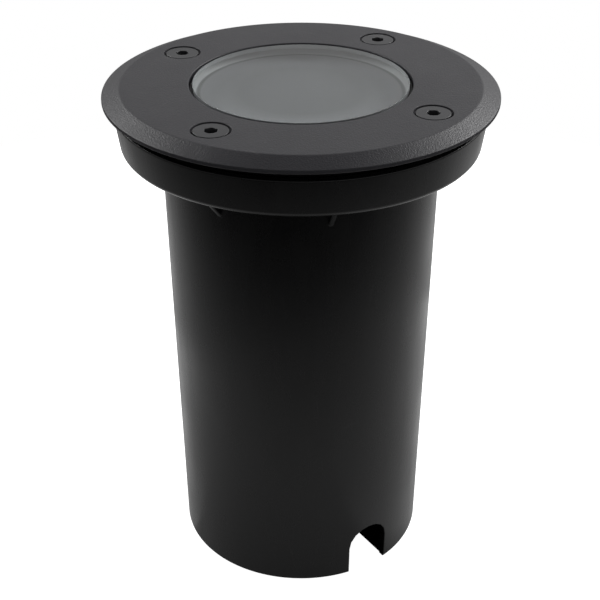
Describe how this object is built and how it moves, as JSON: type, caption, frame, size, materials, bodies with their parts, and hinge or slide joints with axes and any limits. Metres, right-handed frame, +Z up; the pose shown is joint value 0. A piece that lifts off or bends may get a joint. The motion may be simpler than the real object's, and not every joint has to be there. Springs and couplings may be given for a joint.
{
  "type": "recessed ground light",
  "caption": "Round recessed ground uplight with a bevelled trim ring, frosted glass and a replaceable lamp, hanging in a deep plastic mounting sleeve with a cable notch.",
  "frame": {"origin": "centre of the mounting sleeve's foot, on the plane it stands on", "axes": "+Z up out of the ground along the light's axis, -Y and +Y through the two cable notches, +X to the right seen from the -Y notch"},
  "size_m": [0.11, 0.11, 0.15],
  "materials": {
    "sleeve_plastic": "satin black moulded plastic",
    "cast_body": "die-cast aluminium with black powder coat",
    "silicone": "matte black silicone",
    "frosted_glass": "toughened glass, polished on top and sandblasted below",
    "trim_coating": "anthracite powder coat, fine texture",
    "screw_coating": "black coated stainless steel",
    "lamp_white": "white moulded plastic over an aluminium core",
    "board_white": "white solder mask",
    "lens_clear": "clear moulded optic",
    "bright_brass": "bright brass",
    "ceramic": "unglazed white ceramic",
    "zinc_steel": "zinc plated steel",
    "connector_plastic": "natural polyamide",
    "brown_insulation": "brown silicone insulation",
    "blue_insulation": "blue silicone insulation",
    "earth_insulation": "green and yellow silicone insulation",
    "gland_nylon": "black nylon"
  },
  "bodies": {
    "sleeve": {"mounting_sleeve": "sleeve_plastic"},
    "light_unit": {"lamp_housing": "cast_body", "housing_gasket": "silicone", "lampholder_body": "ceramic", "lampholder_back": "ceramic", "lampholder_contacts": "bright_brass", "holder_screws": "zinc_steel", "holder_bracket": "zinc_steel", "bracket_screws": "zinc_steel", "terminal_block": "connector_plastic", "terminal_clamps": "bright_brass", "terminal_screws": "zinc_steel", "block_screws": "zinc_steel", "live_lead": "brown_insulation", "neutral_lead": "blue_insulation", "earth_lead": "earth_insulation", "earth_tag": "zinc_steel", "earth_screw": "zinc_steel", "gland_body": "gland_nylon", "gland_seal": "silicone", "gland_washer": "silicone", "gland_locknut": "gland_nylon", "gland_nut": "gland_nylon"},
    "trim": {"trim_ring": "trim_coating", "glass": "frosted_glass", "glass_seal": "silicone"},
    "screws": {"trim_screws": "screw_coating"},
    "lamp": {"lamp_shell": "lamp_white", "lamp_board": "board_white", "lamp_lens": "lens_clear", "lamp_pins": "bright_brass"}
  },
  "joints": [
    {"name": "unit_lift", "type": "slide", "parent": "sleeve", "child": "light_unit", "axis": [0, 0, 1], "range_m": [0, 0.13]},
    {"name": "trim_lift", "type": "slide", "parent": "light_unit", "child": "trim", "axis": [0, 0, 1], "range_m": [0, 0.08]},
    {"name": "screws_out", "type": "slide", "parent": "trim", "child": "screws", "axis": [0, 0, 1], "range_m": [0, 0.012]},
    {"name": "lamp_twist", "type": "hinge", "parent": "light_unit", "child": "lamp", "pos_m": [0, 0, 0.088], "axis": [0, 0, 1], "range_deg": [0, 30]}
  ]
}
